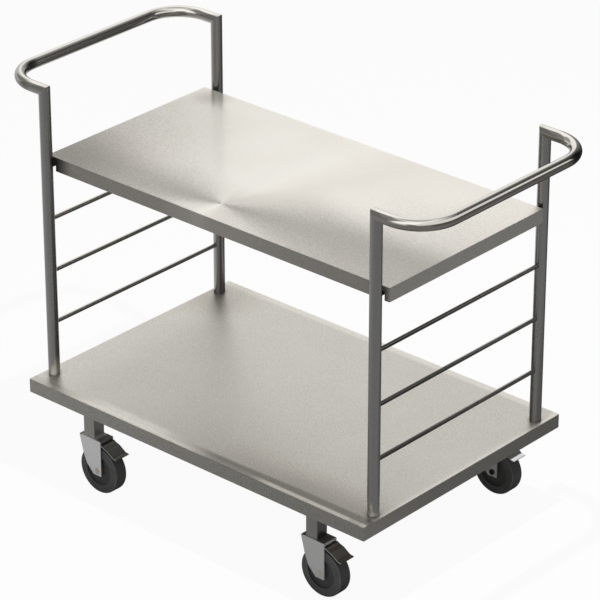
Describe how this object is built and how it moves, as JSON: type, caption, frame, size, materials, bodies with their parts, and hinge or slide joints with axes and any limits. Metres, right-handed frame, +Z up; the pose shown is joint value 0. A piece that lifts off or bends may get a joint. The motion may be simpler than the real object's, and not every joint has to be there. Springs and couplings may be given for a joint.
{
  "type": "shelf trolley",
  "caption": "Stainless steel shelf trolley with a lipped deck, a lift-off upper shelf hung on end rungs, looped tube handles and braked swivel castors.",
  "frame": {"origin": "floor level under the middle of the deck", "axes": "+X along the deck from one handle to the other, +Y from the pictured long side to the far one, +Z up"},
  "size_m": [1.112, 0.6, 0.8489],
  "materials": {
    "deck_sheet": "brushed",
    "shelf_sheet": "brushed",
    "tube": "satin",
    "handle_tube": "polished",
    "rung_bar": "satin",
    "leg_tube": "satin",
    "plain_steel": "plain",
    "fork_plate": "zinc plated",
    "pedal": "dark plated",
    "bolt": "plated",
    "nut": "black",
    "wheel_centre": "matt",
    "tyre": "matt"
  },
  "bodies": {
    "frame": {"deck": "deck_sheet", "post_front_left": "tube", "leg_front_left": "leg_tube", "post_front_right": "tube", "leg_front_right": "leg_tube", "post_back_left": "tube", "leg_back_left": "leg_tube", "post_back_right": "tube", "leg_back_right": "leg_tube", "handle_left": "handle_tube", "rung_left_1": "rung_bar", "rung_left_2": "rung_bar", "rung_left_3": "rung_bar", "rung_left_4": "rung_bar", "handle_right": "handle_tube", "rung_right_1": "rung_bar", "rung_right_2": "rung_bar", "rung_right_3": "rung_bar", "rung_right_4": "rung_bar", "leg_plugs": "plain_steel", "thrust_washers": "plain_steel"},
    "upper_shelf": {"upper_shelf": "shelf_sheet"},
    "swivel_front_left": {"fork_front_left": "fork_plate", "kingpin_front_left": "plain_steel", "axle_bolt_front_left": "bolt", "axle_nut_front_left": "nut", "axle_sleeve_front_left": "plain_steel", "pedal_pin_front_left": "fork_plate"},
    "wheel_front_left": {"wheel_centre_front_left": "wheel_centre", "tyre_front_left": "tyre"},
    "pedal_front_left": {"brake_pedal_front_left": "pedal"},
    "swivel_front_right": {"fork_front_right": "fork_plate", "kingpin_front_right": "plain_steel", "axle_bolt_front_right": "bolt", "axle_nut_front_right": "nut", "axle_sleeve_front_right": "plain_steel", "pedal_pin_front_right": "fork_plate"},
    "wheel_front_right": {"wheel_centre_front_right": "wheel_centre", "tyre_front_right": "tyre"},
    "pedal_front_right": {"brake_pedal_front_right": "pedal"},
    "swivel_back_left": {"fork_back_left": "fork_plate", "kingpin_back_left": "plain_steel", "axle_bolt_back_left": "bolt", "axle_nut_back_left": "nut", "axle_sleeve_back_left": "plain_steel", "pedal_pin_back_left": "fork_plate"},
    "wheel_back_left": {"wheel_centre_back_left": "wheel_centre", "tyre_back_left": "tyre"},
    "pedal_back_left": {"brake_pedal_back_left": "pedal"},
    "swivel_back_right": {"fork_back_right": "fork_plate", "kingpin_back_right": "plain_steel", "axle_bolt_back_right": "bolt", "axle_nut_back_right": "nut", "axle_sleeve_back_right": "plain_steel", "pedal_pin_back_right": "fork_plate"},
    "wheel_back_right": {"wheel_centre_back_right": "wheel_centre", "tyre_back_right": "tyre"},
    "pedal_back_right": {"brake_pedal_back_right": "pedal"}
  },
  "joints": [
    {"name": "upper_shelf_lift", "type": "slide", "parent": "frame", "child": "upper_shelf", "axis": [0, 0, 1], "range_m": [0, 0.22]},
    {"name": "swivel_front_left", "type": "hinge", "parent": "frame", "child": "swivel_front_left", "pos_m": [-0.301, -0.2653, 0.135], "axis": [0, 0, 1], "continuous": true},
    {"name": "wheel_spin_front_left", "type": "hinge", "parent": "swivel_front_left", "child": "wheel_front_left", "pos_m": [-0.2765, -0.2653, 0.0515], "axis": [0, 1, 0], "continuous": true},
    {"name": "pedal_press_front_left", "type": "hinge", "parent": "swivel_front_left", "child": "pedal_front_left", "pos_m": [-0.2792, -0.2653, 0.1119], "axis": [0, 1, 0], "range_deg": [0, 13]},
    {"name": "swivel_front_right", "type": "hinge", "parent": "frame", "child": "swivel_front_right", "pos_m": [0.301, -0.2653, 0.135], "axis": [0, 0, 1], "continuous": true},
    {"name": "wheel_spin_front_right", "type": "hinge", "parent": "swivel_front_right", "child": "wheel_front_right", "pos_m": [0.3255, -0.2653, 0.0515], "axis": [0, 1, 0], "continuous": true},
    {"name": "pedal_press_front_right", "type": "hinge", "parent": "swivel_front_right", "child": "pedal_front_right", "pos_m": [0.3228, -0.2653, 0.1119], "axis": [0, 1, 0], "range_deg": [0, 13]},
    {"name": "swivel_back_left", "type": "hinge", "parent": "frame", "child": "swivel_back_left", "pos_m": [-0.301, 0.2653, 0.135], "axis": [0, 0, 1], "continuous": true},
    {"name": "wheel_spin_back_left", "type": "hinge", "parent": "swivel_back_left", "child": "wheel_back_left", "pos_m": [-0.2765, 0.2653, 0.0515], "axis": [0, 1, 0], "continuous": true},
    {"name": "pedal_press_back_left", "type": "hinge", "parent": "swivel_back_left", "child": "pedal_back_left", "pos_m": [-0.2792, 0.2653, 0.1119], "axis": [0, 1, 0], "range_deg": [0, 13]},
    {"name": "swivel_back_right", "type": "hinge", "parent": "frame", "child": "swivel_back_right", "pos_m": [0.301, 0.2653, 0.135], "axis": [0, 0, 1], "continuous": true},
    {"name": "wheel_spin_back_right", "type": "hinge", "parent": "swivel_back_right", "child": "wheel_back_right", "pos_m": [0.3255, 0.2653, 0.0515], "axis": [0, 1, 0], "continuous": true},
    {"name": "pedal_press_back_right", "type": "hinge", "parent": "swivel_back_right", "child": "pedal_back_right", "pos_m": [0.3228, 0.2653, 0.1119], "axis": [0, 1, 0], "range_deg": [0, 13]}
  ]
}
